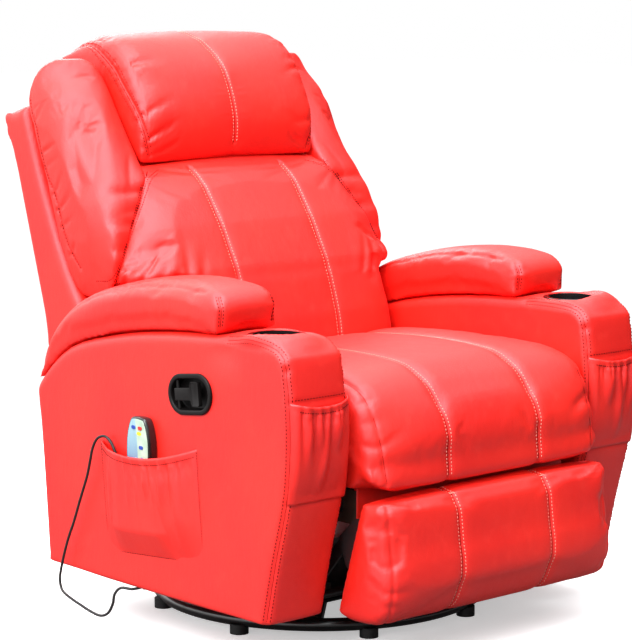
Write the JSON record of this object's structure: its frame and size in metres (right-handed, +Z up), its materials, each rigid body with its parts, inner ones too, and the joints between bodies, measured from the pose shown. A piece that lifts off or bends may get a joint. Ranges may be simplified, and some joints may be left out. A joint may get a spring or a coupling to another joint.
{
  "type": "massage recliner chair",
  "caption": "Upholstered swivel rocker recliner with vibration massage, hinged footrest, reclining back, cup holders, pockets and a corded hand control.",
  "frame": {"origin": "middle of the chair's footprint box, on the floor", "axes": "+Z up, the chair faces -Y, the sitter's left arm is at +X"},
  "size_m": [0.9248, 1.0291, 1.0576],
  "materials": {
    "leather": "soft semi-gloss bonded leather with a fine grain",
    "piping_cloth": "thin leather cloth gathered on elastic",
    "board": "bare plywood and softwood",
    "black_tube": "gloss black powder coat",
    "black_steel": "satin black paint",
    "zinc": "bright zinc plate",
    "black_plastic": "moulded gloss black",
    "matte_black": "moulded matt black",
    "remote_face": "printed film face",
    "button_blue": "domed button",
    "button_red": "domed button",
    "cord": "matt black jacket",
    "heater": "felt heating element"
  },
  "bodies": {
    "base": {"base_ring": "black_tube", "base_cross_bars": "black_steel", "base_glides": "matte_black", "swivel_lower_plate": "black_steel", "swivel_bearing_balls": "zinc", "swivel_pivot_bolt": "zinc"},
    "turntable": {"swivel_upper_plate": "black_steel", "rocker_blocks": "board", "rocker_springs": "zinc"},
    "chair_frame": {"rocker_cams": "board", "frame_cross_tubes": "black_steel", "seat_guide_rails": "black_steel", "arm_frame_right": "board", "arm_frame_left": "board", "arm_cover_right": "leather", "arm_cover_left": "leather", "arm_pad_right": "leather", "arm_pad_left": "leather", "cup_holder_right": "black_plastic", "cup_holder_left": "black_plastic", "front_pocket_right": "piping_cloth", "front_pocket_left": "piping_cloth", "side_pocket_right": "piping_cloth", "side_pocket_left": "piping_cloth", "lever_bezel": "black_plastic", "control_box": "matte_black", "cord_clip": "matte_black", "rear_valance": "leather", "remote_cord": "cord"},
    "seat": {"seat_frame": "board", "seat_springs": "zinc", "seat_cushion": "leather", "thigh_motors": "matte_black", "seat_mech_plates": "black_steel"},
    "backrest": {"back_frame": "board", "back_shell": "leather", "back_cushion": "leather", "wing_right": "leather", "wing_left": "leather", "head_pillow": "leather", "back_motors": "matte_black", "heating_pad": "heater", "back_hinge_brackets": "black_steel"},
    "footrest_link_rear": {"footrest_rear_links": "black_steel"},
    "footrest_link_front": {"footrest_front_links": "black_steel"},
    "footrest": {"footrest_board": "board", "footrest_cushion": "leather", "footrest_brackets": "black_steel", "leg_motors": "matte_black"},
    "lever": {"release_lever": "black_plastic"},
    "hand_control": {"remote_case_back": "black_plastic", "remote_case_front": "remote_face", "remote_strain_relief": "matte_black"},
    "power_button": {"power_button": "button_blue"},
    "heat_button": {"heat_button": "button_red"},
    "mode_button": {"mode_button": "button_blue"},
    "zone_button_1": {"zone_button_1": "button_blue"},
    "zone_button_2": {"zone_button_2": "button_blue"},
    "zone_button_3": {"zone_button_3": "button_blue"},
    "zone_button_4": {"zone_button_4": "button_blue"}
  },
  "joints": [
    {"name": "swivel", "type": "hinge", "parent": "base", "child": "turntable", "pos_m": [0, -0.02, 0.0425], "axis": [0, 0, 1], "continuous": true},
    {"name": "rock", "type": "hinge", "parent": "turntable", "child": "chair_frame", "pos_m": [0, -0.02, 0.074], "axis": [-1, 0, 0], "range_deg": [-5, 5], "stiffness_Nm_per_rad": 2500, "deforming": ["rocker_springs"]},
    {"name": "seat_slide", "type": "slide", "parent": "chair_frame", "child": "seat", "axis": [0, -1, 0], "range_m": [0, 0.06]},
    {"name": "back_recline", "type": "hinge", "parent": "seat", "child": "backrest", "pos_m": [0, 0.18, 0.3], "axis": [-1, 0, 0], "range_deg": [0, 40]},
    {"name": "footrest_extend", "type": "hinge", "parent": "seat", "child": "footrest_link_rear", "pos_m": [0, -0.35, 0.27], "axis": [-1, 0, 0], "range_deg": [0, 115]},
    {"name": "footrest_front_pivot", "type": "hinge", "parent": "footrest_link_rear", "child": "footrest_link_front", "pos_m": [0, -0.28519, 0.09193], "axis": [-1, 0, 0], "range_deg": [-150, 5]},
    {"name": "footrest_tilt", "type": "hinge", "parent": "footrest_link_front", "child": "footrest", "pos_m": [0, -0.3904, 0.21511], "axis": [-1, 0, 0], "range_deg": [-5, 120]},
    {"name": "lever_pull", "type": "hinge", "parent": "chair_frame", "child": "lever", "pos_m": [-0.431, -0.13827, 0.45361], "axis": [0, -0.1219, -0.9925], "range_deg": [0, 35], "stiffness_Nm_per_rad": 2},
    {"name": "hand_control_lift", "type": "slide", "parent": "chair_frame", "child": "hand_control", "axis": [0, 0, 1], "range_m": [0, 0.09]},
    {"name": "power_button_press", "type": "slide", "parent": "hand_control", "child": "power_button", "axis": [1, 0, 0], "range_m": [0, 0.0008], "stiffness_N_per_m": 400},
    {"name": "heat_button_press", "type": "slide", "parent": "hand_control", "child": "heat_button", "axis": [1, 0, 0], "range_m": [0, 0.0008], "stiffness_N_per_m": 400},
    {"name": "mode_button_press", "type": "slide", "parent": "hand_control", "child": "mode_button", "axis": [1, 0, 0], "range_m": [0, 0.0008], "stiffness_N_per_m": 400},
    {"name": "zone_button_1_press", "type": "slide", "parent": "hand_control", "child": "zone_button_1", "axis": [1, 0, 0], "range_m": [0, 0.0008], "stiffness_N_per_m": 400},
    {"name": "zone_button_2_press", "type": "slide", "parent": "hand_control", "child": "zone_button_2", "axis": [1, 0, 0], "range_m": [0, 0.0008], "stiffness_N_per_m": 400},
    {"name": "zone_button_3_press", "type": "slide", "parent": "hand_control", "child": "zone_button_3", "axis": [1, 0, 0], "range_m": [0, 0.0008], "stiffness_N_per_m": 400},
    {"name": "zone_button_4_press", "type": "slide", "parent": "hand_control", "child": "zone_button_4", "axis": [1, 0, 0], "range_m": [0, 0.0008], "stiffness_N_per_m": 400}
  ],
  "couplings": [
    {"joint": "seat_slide", "follows": "back_recline", "m_per_rad": 0.085943},
    {"joint": "footrest_front_pivot", "follows": "footrest_extend", "ratio": -1.2913},
    {"joint": "footrest_tilt", "follows": "footrest_extend", "ratio": 1.0217}
  ]
}
